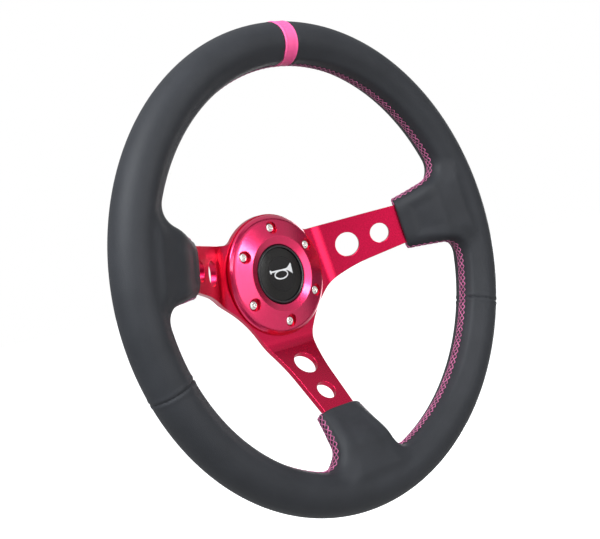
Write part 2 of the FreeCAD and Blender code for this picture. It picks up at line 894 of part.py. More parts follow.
def crown_depth(radius, inset=0.0):
    """Depth of the cap's spherical face at a radius from its centre."""
    sphere = dim("cap_sphere")
    return dim("cap_crown") - inset - (sphere - math.sqrt(sphere * sphere - radius * radius))


def make_horn_cap():
    """Domed cap of the horn button, with a guide flange and a spring cavity."""
    body = new_body("horn_cap")
    profile = new_sketch(body, "cap_profile", "YZ_Plane")
    edge, sink = dim("cap_radius"), dim("emblem_thick")
    inlay = dim("emblem_radius")
    wall = dim("cap_wall")
    cavity = dim("cap_cavity")
    front, back = dim("cap_flange_front"), dim("cap_flange_back")

    def spot(depth, radius):
        return FreeCAD.Vector(-depth, radius, 0)

    def dome(inset, start, end):
        """Arc of the crowned face, sunk by inset, between two radii."""
        middle = (start + end) / 2
        return Part.Arc(
            spot(crown_depth(start, inset), start),
            spot(crown_depth(middle, inset), middle),
            spot(crown_depth(end, inset), end),
        )

    floor = crown_depth(edge) - wall
    inlay_wall = (spot(crown_depth(inlay, sink), inlay), spot(crown_depth(inlay), inlay))
    side_and_back = [
        spot(crown_depth(edge), edge),
        spot(front, edge),
        spot(front, dim("cap_flange")),
        spot(back, dim("cap_flange")),
        spot(back, cavity),
        spot(floor, cavity),
        spot(floor, 0),
        spot(crown_depth(0, sink), 0),
    ]
    edges = [dome(sink, 0, inlay), Part.LineSegment(*inlay_wall), dome(0, inlay, edge)]
    edges += [Part.LineSegment(start, end) for start, end in zip(side_and_back, side_and_back[1:])]
    loop(profile, edges)
    turn_about_y(body, profile, "cap_turn")
    return body


def make_cap_emblem():
    """Thin printed disc set into the cap's crown."""
    body = new_body("cap_emblem")
    profile = new_sketch(body, "emblem_profile", "YZ_Plane")
    edge, thick = dim("emblem_radius") - 0.1, dim("emblem_thick")

    def spot(radius, inset):
        return FreeCAD.Vector(-crown_depth(radius, inset), radius, 0)

    loop(profile, [
        Part.Arc(spot(0, 0), spot(edge / 2, 0), spot(edge, 0)),
        Part.LineSegment(spot(edge, 0), spot(edge, thick)),
        Part.Arc(spot(edge, thick), spot(edge / 2, thick), spot(0, thick)),
        Part.LineSegment(spot(0, thick), spot(0, 0)),
    ])
    turn_about_y(body, profile, "emblem_turn")
    return body


def make_contact_disc():
    """Brass disc that the cap carries down onto the centre contact."""
    return turned_body("contact_disc", (
        ("- disc_front", "0"),
        ("- disc_front", "disc_radius"),
        ("- disc_back", "disc_radius"),
        ("- disc_back", "0"),
    ))


def make_disc_pin():
    """Pin that carries the contact disc under the cap."""
    body = new_body("disc_pin")
    profile = new_sketch(body, "pin_profile", "YZ_Plane")
    top = crown_depth(dim("cap_radius")) - dim("cap_wall")
    loop(profile, rounded([
        (-top, 0, 0),
        (-top, dim("pin_radius"), 0),
        (-dim("disc_front"), dim("pin_radius"), 0),
        (-dim("disc_front"), 0, 0),
    ]))
    turn_about_y(body, profile, "pin_turn")
    return body


def make_centre_contact():
    """Fixed brass stud in the middle of the horn's base."""
    return turned_body("centre_contact", (
        ("- post_tip", "0"),
        ("- post_tip", "post_radius"),
        ("floor_front - seat_thick", "post_radius"),
        ("floor_front - seat_thick", "post_flange"),
        ("floor_front", "post_flange"),
        ("floor_front", "0"),
    ))


def make_spring_seat():
    """Brass ring on the base under the return spring."""
    return turned_body("spring_seat", (
        ("floor_front - seat_thick", "seat_inner"),
        ("floor_front - seat_thick", "seat_outer"),
        ("floor_front", "seat_outer"),
        ("floor_front", "seat_inner"),
    ))


def make_horn_spring():
    """Return spring between the contact disc and its seat."""
    body = new_body("horn_spring")
    wire = dim("spring_wire")
    start = -dim("disc_back") + wire + 0.02
    end = dim("floor_front") - dim("seat_thick") - wire - 0.02
    section = new_sketch(body, "wire_section", "YZ_Plane")
    centre = FreeCAD.Vector(start, dim("spring_mean"), 0)
    index = section.addGeometry(Part.Circle(centre, FreeCAD.Vector(0, 0, 1), wire))
    bind(section, "Radius", (index,), "spring_wire")
    coil = body.newObject("PartDesign::AdditiveHelix", "coil")
    coil.Profile = section
    coil.ReferenceAxis = (section, ["H_Axis"])
    coil.Mode = "height-turns-angle"
    coil.Height = end - start
    coil.Turns = dim("spring_turns")
    coil.setExpression("Turns", "dims.spring_turns")
    return body


def make_horn_base():
    """Insulating disc that closes the back of the housing."""
    body = turned_body("horn_base", (
        ("floor_front", "0"),
        ("floor_front", "floor_radius"),
        ("floor_back", "floor_radius"),
        ("floor_back", "0"),
    ))
    slots = new_sketch(body, "slot_outline", "XZ_Plane", front_offset(1))
    for across in (0.0, dim("blade_offset")):
        half_width = dim("blade_width") / 2 + 0.05
        half_thick = dim("blade_thick") / 2 + 0.05
        loop(slots, rounded([
            (across - half_thick, -half_width, 0),
            (across + half_thick, -half_width, 0),
            (across + half_thick, half_width, 0),
            (across - half_thick, half_width, 0),
        ]))
    pocket(body, slots, "terminal_slots")
    return body


def make_blade(name, across):
    """One flat terminal, from its contact out through the base."""
    body = new_body(name)
    depth = -dim("floor_front")
    sketch = new_sketch(body, name + "_outline", "XZ_Plane", front_offset(depth))
    half_width = dim("blade_width") / 2
    half_thick = dim("blade_thick") / 2
    loop(sketch, rounded([
        (across - half_thick, -half_width, 0),
        (across + half_thick, -half_width, 0),
        (across + half_thick, half_width, 0),
        (across - half_thick, half_width, 0),
    ]))
    feature = pad(body, sketch, name + "_pad", "floor_back - floor_front + blade_length")
    feature.Reversed = True
    return body


def make_terminals():
    group = doc.addObject("Part::Compound", "horn_terminals")
    group.Links = [make_blade("live_blade", 0.0), make_blade("earth_blade", dim("blade_offset"))]
    return group


# ---------------------------------------------------------------- build


def build():
    plate = make_spoke_plate()
    core = make_rim_core()
    rivets = make_core_rivets()
    nodes = [plate, core, rivets]
    nodes += make_rim_cover(plate, core, rivets)
    nodes += [
        make_trim_ring(),
        make_hub_screws(),
        make_horn_housing(),
        make_gasket(),
        make_retaining_ring(),
        make_bezel(),
        make_horn_cap(),
        make_cap_emblem(),
        make_contact_disc(),
        make_disc_pin(),
        make_centre_contact(),
        make_spring_seat(),
        make_horn_spring(),
        make_horn_base(),
        make_terminals(),
    ]
    doc.recompute()
    return nodes


def check(nodes):
    """Stops if any object failed or any node has no sound solid."""
    for item in doc.Objects:
        if "Invalid" in item.State or "Error" in item.State:
            raise RuntimeError(f"{item.Label} failed: {item.State}")
    for node in nodes:
        shape = node.Shape
        if shape.isNull() or not shape.isValid() or not shape.Solids:
            raise RuntimeError(f"{node.Label} has no sound shape")


def write(nodes):
    os.makedirs("parts", exist_ok=True)
    for node in nodes:
        node.Shape.exportStep(f"parts/{node.Label}.step")
        box = node.Shape.BoundBox
        print(
            f"{node.Label:22s} solids {len(node.Shape.Solids)} volume {node.Shape.Volume:10.0f} "
            f"x {box.XMin:7.1f} {box.XMax:7.1f} y {box.YMin:6.1f} {box.YMax:6.1f} "
            f"z {box.ZMin:7.1f} {box.ZMax:7.1f}"
        )


parts = build()
check(parts)
write(parts)
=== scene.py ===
import math

import bmesh
import bpy
import numpy as np
from mathutils import Matrix, Vector, kdtree


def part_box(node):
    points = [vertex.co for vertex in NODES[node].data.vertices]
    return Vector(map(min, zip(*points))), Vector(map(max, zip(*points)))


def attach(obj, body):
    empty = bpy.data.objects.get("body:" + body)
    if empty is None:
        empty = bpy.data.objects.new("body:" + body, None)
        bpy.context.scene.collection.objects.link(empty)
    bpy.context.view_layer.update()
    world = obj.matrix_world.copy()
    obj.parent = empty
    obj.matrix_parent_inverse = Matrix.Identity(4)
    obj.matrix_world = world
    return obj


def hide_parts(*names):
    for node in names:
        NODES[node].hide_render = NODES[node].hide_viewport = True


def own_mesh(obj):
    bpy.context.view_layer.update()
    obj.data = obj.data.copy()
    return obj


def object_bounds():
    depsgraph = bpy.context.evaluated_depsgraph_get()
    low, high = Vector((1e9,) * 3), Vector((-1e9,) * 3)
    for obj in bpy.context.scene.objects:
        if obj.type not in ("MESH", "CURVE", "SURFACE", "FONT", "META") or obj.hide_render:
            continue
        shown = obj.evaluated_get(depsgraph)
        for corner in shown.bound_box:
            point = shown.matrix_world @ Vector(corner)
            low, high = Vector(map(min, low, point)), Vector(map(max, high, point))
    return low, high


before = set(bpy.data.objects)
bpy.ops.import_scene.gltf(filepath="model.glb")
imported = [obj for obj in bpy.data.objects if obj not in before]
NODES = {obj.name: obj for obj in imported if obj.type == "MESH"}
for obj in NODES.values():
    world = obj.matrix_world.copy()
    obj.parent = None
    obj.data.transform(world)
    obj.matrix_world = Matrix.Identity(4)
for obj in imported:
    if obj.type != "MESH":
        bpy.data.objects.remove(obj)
cad_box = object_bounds()

# A deep-dish steering wheel seen by its driver. The row frame's origin is the
# centre of the hub's back face, -Y points at the driver and +Z is 12 o'clock.
# Shapes are worked out in millimetres and scaled to metres as meshes are made.

MM = 0.001

# ---------------------------------------------------------------- sizes

MARK_LOW, MARK_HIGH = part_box("centre_mark")
TUBE = (MARK_HIGH.y - MARK_LOW.y) / 2 / MM
RIM_DEPTH = -(MARK_HIGH.y + MARK_LOW.y) / 2 / MM
RING = MARK_HIGH.z / MM - TUBE
MARK_WIDTH = (MARK_HIGH.x - MARK_LOW.x) / MM
PLATE_FRONT = -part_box("spoke_plate")[0].y / MM
PLATE_THICK = 4.5

# Spokes, by their angle from 3 o'clock, and the slope that gives the wheel its dish.
SPOKE_RISE = 9.3
SPOKES = {"right": SPOKE_RISE, "left": 180 - SPOKE_RISE, "low": 270.0}
SPOKE_SLOPE = math.radians(37)
BEND_AT = 49.9
BEND_SOFTNESS = 1.5
SEAM_DROP = 20.0

# Leather sleeves over the spokes, by distance from the wheel's axis.
SLEEVE_END = 99.9
SLEEVE_OUTER = 146.0
SLEEVE_BLEND = 17.0
SLEEVE_BLEND_DROP = 7.0
SLEEVE_SIDE_ROUND = 11.5
SLEEVE_FLAT_SIDE = 0.12
SLEEVE_EDGE_ROUND = 1.3
SLEEVE_TUCK = 1.2

# Crossed stitches round the three openings; a thread is given by its radius.
STITCH_PITCH = 4.6
STITCH_REACH = 3.7
STITCH_STEPS = 12
STITCH_BEHIND = 1.9
STITCH_MARGIN = 1.2
TRACE_STEP = 0.6
THREAD = 0.23

# Grid that the leather's surface is found on.
LEATHER_STEP = 1.1

# Hub screws: M5, with a button head and a 3 mm hexagon socket.
SCREWS = 6
SCREW_CIRCLE_RADIUS = 35.0
SCREW_PITCH = 0.8
SCREW_SPIN = 0.37
HEAD_HIGH = 2.3
SOCKET_HALF_WIDTH = 1.5
SOCKET_DEPTH = 1.5

# Horn button.
CROWN_RADIUS = 90.0
PAINT_LIFT = 0.06

# Camera and studio.
CAMERA_ROLL = 12.3
CAMERA_LENS = 70.1
SENSOR_WIDTH = 36
FLOOR_DROP = 220
FLOOR_HALF = 12000
BOUNCE_GAP = 5


# ---------------------------------------------------------------- small helpers


def smooth_step(low, high, value):
    """0 up to low, 1 from high on, and a smooth rise between them."""
    share = np.clip((value - low) / (high - low), 0, 1)
    return share * share * (3 - 2 * share)


def bump(value, centre, width):
    """Bell curve of height 1."""
    return np.exp(-(((value - centre) / width) ** 2))


def soft_curve(places, values, spread):
    """Function through a few values, with its corners smoothed over a given spread."""
    margin, step = 30, 0.25
    fine = np.arange(places[0] - margin, places[-1] + margin, step)
    rough = np.interp(fine, places, values)
    reach = np.arange(-3 * spread, 3 * spread + 0.1, step)
    kernel = np.exp(-((reach / spread) ** 2) / 2)
    padded = np.pad(rough, len(reach) // 2, mode="edge")
    smooth = np.convolve(padded, kernel / kernel.sum(), mode="valid")[: len(fine)]
    return lambda value: np.interp(value, fine, smooth)


def new_object(name, vertices, faces, smooth=True):
    """Mesh object from millimetre vertices in the row frame."""
    mesh = bpy.data.meshes.new(name)
    points = [tuple(point) for point in np.asarray(vertices, float) * MM]
    mesh.from_pydata(points, [], [tuple(face) for face in faces])
    mesh.validate()
    mesh.update()
    if smooth:
        mesh.shade_smooth()
    obj = bpy.data.objects.new(name, mesh)
    bpy.context.scene.collection.objects.link(obj)
    return obj


def dress(obj, material, body="wheel", replaces=()):
    """Gives a piece its material, its body and the nodes it stands for."""
    obj.data.materials.clear()
    obj.data.materials.append(material)
    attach(obj, body)
    if replaces:
        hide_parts(*replaces)


def finish_node(name, material):
    """New material for a CAD node that is shown as it is."""
    obj = NODES[name]
    obj.data.materials.clear()
    obj.data.materials.append(material)


def tubes(paths, radius, sides=7):
    """Vertices and faces of round threads along several paths, closed at both ends."""
    vertices, faces = [], []
    turn = np.linspace(0, 2 * math.pi, sides, endpoint=False)
    for path in paths:
        path = np.asarray(path, float)
        way = np.gradient(path, axis=0)
        way /= np.linalg.norm(way, axis=1)[:, None]
        side = np.cross(way[0], (0.0, 1.0, 0.0))
        if np.linalg.norm(side) < 0.2:
            side = np.cross(way[0], (1.0, 0.0, 0.0))
        first = len(vertices)
        for point, along in zip(path, way):
            side = side - along * side.dot(along)
            side /= np.linalg.norm(side)
            other = np.cross(along, side)
            for angle in turn:
                vertices.append(point + radius * (math.cos(angle) * side + math.sin(angle) * other))
        for ring in range(len(path) - 1):
            for step in range(sides):
                here = first + ring * sides + step
                beside = first + ring * sides + (step + 1) % sides
                faces.append((here, beside, beside + sides, here + sides))
        faces.append(tuple(first + step for step in reversed(range(sides))))
        last = first + (len(path) - 1) * sides
        faces.append(tuple(last + step for step in range(sides)))
    return vertices, faces


# ---------------------------------------------------------------- materials


class Nodes:
    """Short way to build one procedural material."""

    def __init__(self, name):
        self.material = bpy.data.materials.new(name)
        self.material.use_nodes = True
        self.tree = self.material.node_tree
        self.shader = self.tree.nodes["Principled BSDF"]
        self.place = self.add("ShaderNodeTexCoord").outputs["Object"]

    def add(self, kind, **values):
        """New node, with its sockets or settings given by name."""
        node = self.tree.nodes.new(kind)
        for key, value in values.items():
            if key in node.inputs:
                node.inputs[key].default_value = value
            else:
                setattr(node, key, value)
        return node

    def link(self, source, target):
        self.tree.links.new(source, target)

    def noise(self, scale, detail=3.0, roughness=0.5, stretch=None):
        """Noise by place in the row frame, scale in cells per metre."""
        node = self.add("ShaderNodeTexNoise", Scale=scale, Detail=detail, Roughness=roughness)
        place = self.place
        if stretch is not None:
            mapping = self.add("ShaderNodeMapping", Scale=stretch)
            self.link(place, mapping.inputs["Vector"])
            place = mapping.outputs["Vector"]
        self.link(place, node.inputs["Vector"])
        return node.outputs["Fac"]

    def cells(self, scale, feature="DISTANCE_TO_EDGE"):
        """Cell pattern by place in the row frame, scale in cells per metre."""
        node = self.add("ShaderNodeTexVoronoi", Scale=scale, feature=feature)
        self.link(self.place, node.inputs["Vector"])
        return node.outputs["Distance"]

    def ramp(self, source, stops):
        """Maps a number to colours or greys through (position, colour) stops."""
        node = self.add("ShaderNodeValToRGB")
        elements = node.color_ramp.elements
        while len(elements) < len(stops):
            elements.new(0.5)
        for element, (position, colour) in zip(elements, stops):
            element.position = position
            element.color = (*colour, 1) if len(colour) == 3 else colour
        self.link(source, node.inputs["Fac"])
        return node.outputs["Color"]

    def range(self, source, low, high, start=0.0, end=1.0):
        """Maps a number from start..end to low..high."""
        node = self.add("ShaderNodeMapRange")
        node.inputs["From Min"].default_value = start
        node.inputs["From Max"].default_value = end
        node.inputs["To Min"].default_value = low
        node.inputs["To Max"].default_value = high
        self.link(source, node.inputs["Value"])
        return node.outputs["Result"]

    def bump(self, source, distance, strength=1.0, after=None):
        """Normal of a surface raised by source, distance in metres, over an earlier bump."""
        node = self.add("ShaderNodeBump", Strength=strength, Distance=distance)
        self.link(source, node.inputs["Height"])
        if after is not None:
            self.link(after, node.inputs["Normal"])
        return node.outputs["Normal"]

    def set(self, **values):
        """Sets sockets of the shader: plain values as they are, outputs as links."""
        for key, value in values.items():
            socket = self.shader.inputs[key.replace("_", " ")]
            if isinstance(value, bpy.types.NodeSocket):
                self.link(value, socket)
            else:
                socket.default_value = value
        return self.material


def leather(name, dark, light, grain=0.00009):
    """Fine-grained automotive leather, its gloss varying in broad patches."""
    nodes = Nodes(name)
    patches = nodes.noise(45, 3)
    colour = nodes.ramp(patches, [(0.3, dark), (0.7, light)])
    pebbles = nodes.cells(1500)
    pores = nodes.noise(2600, 2)
    crests = nodes.range(pebbles, 0, 1, 0.0, 0.35)
    base = nodes.bump(nodes.noise(300, 2), 0.00012, 0.35)
    fine = nodes.bump(crests, grain, 0.5, after=base)
    normal = nodes.bump(pores, 0.00003, 0.5, after=fine)
    rough = nodes.range(patches, 0.5, 0.6)
    return nodes.set(
        Base_Color=colour,
        Roughness=rough,
        Normal=normal,
        Specular_IOR_Level=0.25,
    )


def anodised(name, deep, bright, roughness, skin):
    """Dyed aluminium: the metal's fine finish under a clear, hard skin."""
    nodes = Nodes(name)
    drift = nodes.noise(18, 2)
    colour = nodes.ramp(drift, [(0.25, deep), (0.75, bright)])
    finish = nodes.noise(2500, 2)
    rough = nodes.range(finish, roughness - 0.03, roughness + 0.04)
    normal = nodes.bump(finish, 0.000004, 0.2)
    return nodes.set(
        Base_Color=colour,
        Metallic=1.0,
        Roughness=rough,
        Normal=normal,
        Coat_Weight=skin,
        Coat_Roughness=0.15,
    )


def bare_metal(name, colour, roughness, scratch=(1, 1, 1)):
    """Plated or drawn metal with faint tool marks."""
    nodes = Nodes(name)
    marks = nodes.noise(1400, 3, stretch=scratch)
    tone = nodes.ramp(marks, [(0.3, tuple(part * 0.86 for part in colour)), (0.7, colour)])
    rough = nodes.range(marks, roughness - 0.05, roughness + 0.08)
    normal = nodes.bump(marks, 0.00001, 0.5)
    return nodes.set(Base_Color=tone, Metallic=1.0, Roughness=rough, Normal=normal)


def plastic(name, colour, roughness, shine=0.5):
    """Moulded plastic or rubber with a fine spark-eroded texture."""
    nodes = Nodes(name)
    spark = nodes.noise(2200, 3)
    shades = [(0.3, tuple(part * 0.85 for part in colour)), (0.7, colour)]
    tone = nodes.ramp(nodes.noise(60, 2), shades)
    rough = nodes.range(spark, roughness - 0.05, roughness + 0.07)
    normal = nodes.bump(spark, 0.00002, 0.6)
    return nodes.set(Base_Color=tone, Roughness=rough, Normal=normal, Specular_IOR_Level=shine)


def thread(name, dark, light):
    """Bonded nylon thread with its twist."""
    nodes = Nodes(name)
    fibres = nodes.noise(5200, 2)
    wear = nodes.noise(420, 3, 0.7)
    tone = nodes.ramp(wear, [(0.38, dark), (0.62, light)])
    normal = nodes.bump(fibres, 0.00006, 0.8)
    return nodes.set(Base_Color=tone, Roughness=0.55, Normal=normal, Sheen_Weight=0.3)


def foam(name, colour):
    """Skinned polyurethane foam."""
    nodes = Nodes(name)
    cells = nodes.cells(900, "F1")
    tone = nodes.ramp(cells, [(0.1, tuple(part * 0.6 for part in colour)), (0.6, colour)])
    return nodes.set(Base_Color=tone, Roughness=0.85, Normal=nodes.bump(cells, 0.00015, 0.7))


# ---------------------------------------------------------------- leather's form


def spoke_places(points, angle):
    """Distance along a spoke, distance to its side, and depth, for many points."""
    turn = math.radians(angle)
    along = points[..., 0] * math.cos(turn) + points[..., 2] * math.sin(turn)
    side = -points[..., 0] * math.sin(turn) + points[..., 2] * math.cos(turn)
    return along, side, -points[..., 1]


def plate_middle(along):
    """Depth of the spoke plate's middle in front of the hub's back face."""
    sloped = PLATE_THICK + (along - BEND_AT) * math.tan(SPOKE_SLOPE)
    sloped -= PLATE_THICK / 2 / math.cos(SPOKE_SLOPE)
    flat = PLATE_FRONT - PLATE_THICK / 2
    return flat - BEND_SOFTNESS * np.logaddexp(0, (flat - sloped) / BEND_SOFTNESS)


# Half width, half thickness and sideways shift of a sleeve, by distance along its spoke.
SLEEVE_HALF_WIDTH = soft_curve(
    [98, 106, 114, 126, 140, 160], [18.9, 20.1, 21.7, 24.6, 27.6, 30.0], 5
)
SLEEVE_HALF_THICK = soft_curve(
    [98, 106, 114, 128, 145, 160], [6.0, 6.6, 7.8, 10.0, 12.4, 12.6], 6
)
SLEEVE_SHIFT = soft_curve([98, 110, 135, 160], [0.9, 0.9, 1.2, 1.2], 6)


def sleeve_distance(points, angle):
    """Signed distance to the padded sleeve over one spoke's outer end.

    The two side sleeves shift upwards and the low one to the left.
    """
    along, side, depth = spoke_places(points, angle)
    side = side - SLEEVE_SHIFT(along) * (1 if angle < 90 else -1)

    # Across the spoke: a section with round sides and slightly flattened faces.
    level = smooth_step(118, 132, along)
    lean = math.cos(SPOKE_SLOPE) + (1 - math.cos(SPOKE_SLOPE)) * level
    rise = (depth - plate_middle(along)) * lean
    half_width = SLEEVE_HALF_WIDTH(along)
    half_thick = SLEEVE_HALF_THICK(along) + 0.2 * bump(along, SLEEVE_END + 2.2, 1.8)
    over_side = np.maximum(np.abs(side) - half_width + SLEEVE_SIDE_ROUND, 0) / SLEEVE_SIDE_ROUND
    crowned = 1 - SLEEVE_FLAT_SIDE
    over_rise = np.maximum(np.abs(rise) / half_thick - SLEEVE_FLAT_SIDE, 0) / crowned
    reach = np.hypot(over_side, over_rise)
    slope = np.hypot(over_side / SLEEVE_SIDE_ROUND, over_rise / (crowned * half_thick))
    steepness = slope / np.maximum(reach, 1e-6)
    section = (reach - 1) / np.maximum(steepness, 1 / SLEEVE_SIDE_ROUND)

    # Along the spoke: an end cut square to the sheet, tucked in where it meets the metal.
    lip = smooth_step(-2.6, -4.6, section)
    front = plate_middle(SLEEVE_END) + SLEEVE_HALF_THICK(SLEEVE_END) / math.cos(SPOKE_SLOPE)
    end = (SLEEVE_END - along) * math.cos(SPOKE_SLOPE)
    end = end + (front - depth) * math.sin(SPOKE_SLOPE) + SLEEVE_TUCK * lip
    end = np.maximum(end, along - SLEEVE_OUTER)

    over_section = section + SLEEVE_EDGE_ROUND
    over_end = end + SLEEVE_EDGE_ROUND
    outside = np.hypot(np.maximum(over_section, 0), np.maximum(over_end, 0))
    inside = np.minimum(np.maximum(section, end) + SLEEVE_EDGE_ROUND, 0)
    return outside + inside - SLEEVE_EDGE_ROUND


def rim_distance(points):
    """Signed distance to the leather: the rim's tube blended into three sleeves."""
    away = np.hypot(points[..., 0], points[..., 2])
    rise = points[..., 1] + RIM_DEPTH
    total = np.hypot(away - RING, rise) - TUBE
    blend = SLEEVE_BLEND - SLEEVE_BLEND_DROP * (rise / (total + TUBE + 0.01)) ** 2
    for angle in SPOKES.values():
        sleeve = sleeve_distance(points, angle)
        share = np.clip(0.5 + 0.5 * (total - sleeve) / blend, 0, 1)
        total = total + (sleeve - total) * share - blend * share * (1 - share)
    return total


def seam_relief(points):
    """Height of the leather's folded edges at the two cross seams and beside the mark."""
    height = np.zeros(points.shape[:-1])
    for angle in (-SEAM_DROP, 180 + SEAM_DROP):
        along, side, _ = spoke_places(points, angle)
        near = (along > 100) * 1.0
        fold = 0.3 * bump(np.abs(side), 1.9, 1.2)
        groove = 0.75 * bump(side, 0, 0.6)
        height += near * (fold - groove)
    along, side, _ = spoke_places(points, 90.0)
    near = (along > 100) * 1.0
    height += near * (0.15 * bump(np.abs(side), MARK_WIDTH / 2 + 2.0, 1.2))
    height -= near * 0.6 * bump(np.abs(side), MARK_WIDTH / 2, 0.8)
    return height


def leather_distance(points):
    """Signed distance to the leather with its seams."""
    return rim_distance(points) - seam_relief(points)


def slope_of(distance, points, step=0.02):
    """Unit gradient of a signed distance at many points."""
    slope = np.empty_like(points)
    for axis in range(3):
        shift = np.zeros(3)
        shift[axis] = step
        slope[..., axis] = distance(points + shift) - distance(points - shift)
    return slope / np.linalg.norm(slope, axis=-1)[..., None]


def settle(distance, points, rounds=3):
    """Moves points onto the zero surface of a signed distance."""
    for _ in range(rounds):
        points = points - slope_of(distance, points) * distance(points)[..., None]
    return points


def surface_net(distance, low, high, step):
    """Quads over the zero surface of a signed distance inside a box.

    The distance is worked out on a grid four times coarser first, and again on the
    full grid only near the surface.
    """
    axes = [np.arange(start, end + step, step) for start, end in zip(low, high)]
    grid = np.stack(np.meshgrid(*axes, indexing="ij"), axis=-1)
    size = np.array(grid.shape[:3])
    coarse = distance(grid[::4, ::4, ::4])
    nearest = [
        np.minimum((np.arange(count) + 2) // 4, part - 1)
        for count, part in zip(size, coarse.shape)
    ]
    values = coarse[np.ix_(*nearest)]
    close = np.abs(values) < 6 * step
    values[close] = distance(grid[close])
    inside = values < 0
    cells = tuple(size - 1)

    def corner(array, offset):
        """One corner's value for every cell."""
        return array[tuple(slice(o, o + c) for o, c in zip(offset, cells))]

    offsets = [(i, j, k) for i in (0, 1) for j in (0, 1) for k in (0, 1)]
    filled = sum(corner(inside, offset).astype(np.int8) for offset in offsets)
    active = (filled > 0) & (filled < 8)
    index = np.full(cells, -1)
    index[active] = np.arange(active.sum())

    # Each cell's vertex is the mean of the places where its edges cross the surface.
    total = np.zeros((active.sum(), 3))
    count = np.zeros(active.sum())
    for start in offsets:
        for axis in range(3):
            if start[axis]:
                continue
            end = tuple(part + (place == axis) for place, part in enumerate(start))
            first = corner(values, start)[active]
            second = corner(values, end)[active]
            crossed = (first < 0) != (second < 0)
            share = np.where(crossed, first / np.where(crossed, first - second, 1), 0)
            spot = np.array(start, float) + np.outer(share, np.eye(3)[axis])
            total[crossed] += spot[crossed]
            count[crossed] += 1
    vertices = (np.argwhere(active) + total / count[:, None]) * step + np.array(low)

    # Each grid edge that crosses the surface joins the vertices of its four cells.
    faces = []
    for axis in range(3):
        others = [place for place in range(3) if place != axis]
        if axis == 1:
            others.reverse()
        ahead = [slice(None)] * 3
        ahead[axis] = slice(1, None)
        behind = [slice(None)] * 3
        behind[axis] = slice(None, -1)
        for sign in (True, False):
            change = (inside[tuple(behind)] == sign) & (inside[tuple(ahead)] != sign)
            spots = np.argwhere(change)
            spots = spots[((spots[:, others] > 0) & (spots[:, others] < size[others] - 1)).all(1)]
            around = []
            for first, second in ((1, 1), (0, 1), (0, 0), (1, 0)):
                cell = spots.copy()
                cell[:, others[0]] -= first
                cell[:, others[1]] -= second
                around.append(index[tuple(cell.T)])
            quads = np.stack(around, axis=1)
            faces.append(quads if sign else quads[:, ::-1])
    faces = np.concatenate(faces)
    return vertices, faces[(faces >= 0).all(1)]


# ---------------------------------------------------------------- stitched edges


def trace_edge(middle_angle):
    """The seam round one opening: a sleeve's side, the rim's inner side, the next sleeve.

    Returns points, outward normals and directions along the seam, evenly spaced.
    """

    def pinned(spot):
        """Puts a front-view point on the middle of the leather's thickness, at its edge."""
        for _ in range(4):
            reach = math.hypot(spot[0], spot[1])
            middle = float(plate_middle(reach)) + 1.0 * smooth_step(128, 140, reach)
            depth = min(RIM_DEPTH, middle) - STITCH_BEHIND
            point = np.array([spot[0], -depth, spot[1]])
            slope = slope_of(rim_distance, point)
            flat = np.array([slope[0], slope[2]])
            flat /= np.linalg.norm(flat)
            spot = spot - flat * float(rim_distance(point))
        return spot, flat, point

    turn = math.radians(middle_angle)
    start = np.array([math.cos(turn), math.sin(turn)]) * (RING - TUBE)
    halves = []
    for hand in (-1, 1):
        spot, flat, point = pinned(start)
        half = []
        while len(half) < 900:
            half.append(point)
            ahead = hand * TRACE_STEP * np.array([-flat[1], flat[0]])
            spot, flat, point = pinned(spot + ahead)
            near_end = math.hypot(*spot) < SLEEVE_END + 24
            if near_end and sleeve_reach(point) < SLEEVE_END + STITCH_MARGIN:
                break
        halves.append(half)
    line = np.array(halves[0][::-1] + halves[1][1:])
    pieces = np.linalg.norm(np.diff(line, axis=0), axis=1)
    lengths = np.concatenate([[0], np.cumsum(pieces)])
    count = int(round(lengths[-1] / STITCH_PITCH)) * STITCH_STEPS
    even = np.linspace(0, lengths[-1], count + 1)
    points = np.stack([np.interp(even, lengths, line[:, axis]) for axis in range(3)], axis=1)
    along = np.gradient(points, axis=0)
    along /= np.linalg.norm(along, axis=1)[:, None]
    outward = slope_of(rim_distance, points)
    outward -= along * (outward * along).sum(1)[:, None]
    outward /= np.linalg.norm(outward, axis=1)[:, None]
    return points, outward, along


def sleeve_reach(point):
    """Distance of a point along the spoke whose sleeve it lies on."""
    places = [spoke_places(point, angle)[:2] for angle in SPOKES.values()]
    return min((abs(float(side)), float(along)) for along, side in places if along > 0)[1]


EDGES = {
    "lacing_upper": 90.0,
    "lacing_lower_left": (SPOKES["left"] + SPOKES["low"]) / 2,
    "lacing_lower_right": (SPOKES["low"] + 360 + SPOKES["right"]) / 2,
}


def along_edge(edge, place, spread):
    """Points on the leather at fractional places along a seam, a distance to one side of it."""
    points, outward, along = edge
    across = np.cross(along, outward)
    low = np.floor(place).astype(int).clip(0, len(points) - 2)
    part = (place - low)[:, None]
    middle = points[low] * (1 - part) + points[low + 1] * part
    aside = across[low] * (1 - part) + across[low + 1] * part
    path = settle(rim_distance, middle + aside * spread[:, None], 4)
    return path, slope_of(rim_distance, path)


def stitch_paths(edge):
    """Threads of a double crossed stitch, over the seam to the next hole but one."""
    stitches = (len(edge[0]) - 1) // STITCH_STEPS
    share = np.linspace(0, 1, 11)
    sunk = 1.5 * THREAD * (bump(share, 0, 0.09) + bump(share, 1, 0.09))
    paths = []
    for stitch in range(stitches - 1):
        place = (stitch + 2 * share) * STITCH_STEPS
        for order, side in enumerate((1, -1)):
            over, normal = along_edge(edge, place, side * STITCH_REACH * (1 - 2 * share))
            lift = THREAD * (0.7 + order * bump(share, 0.5, 0.35)) - sunk
            paths.append(over + normal * lift[:, None])
    return paths


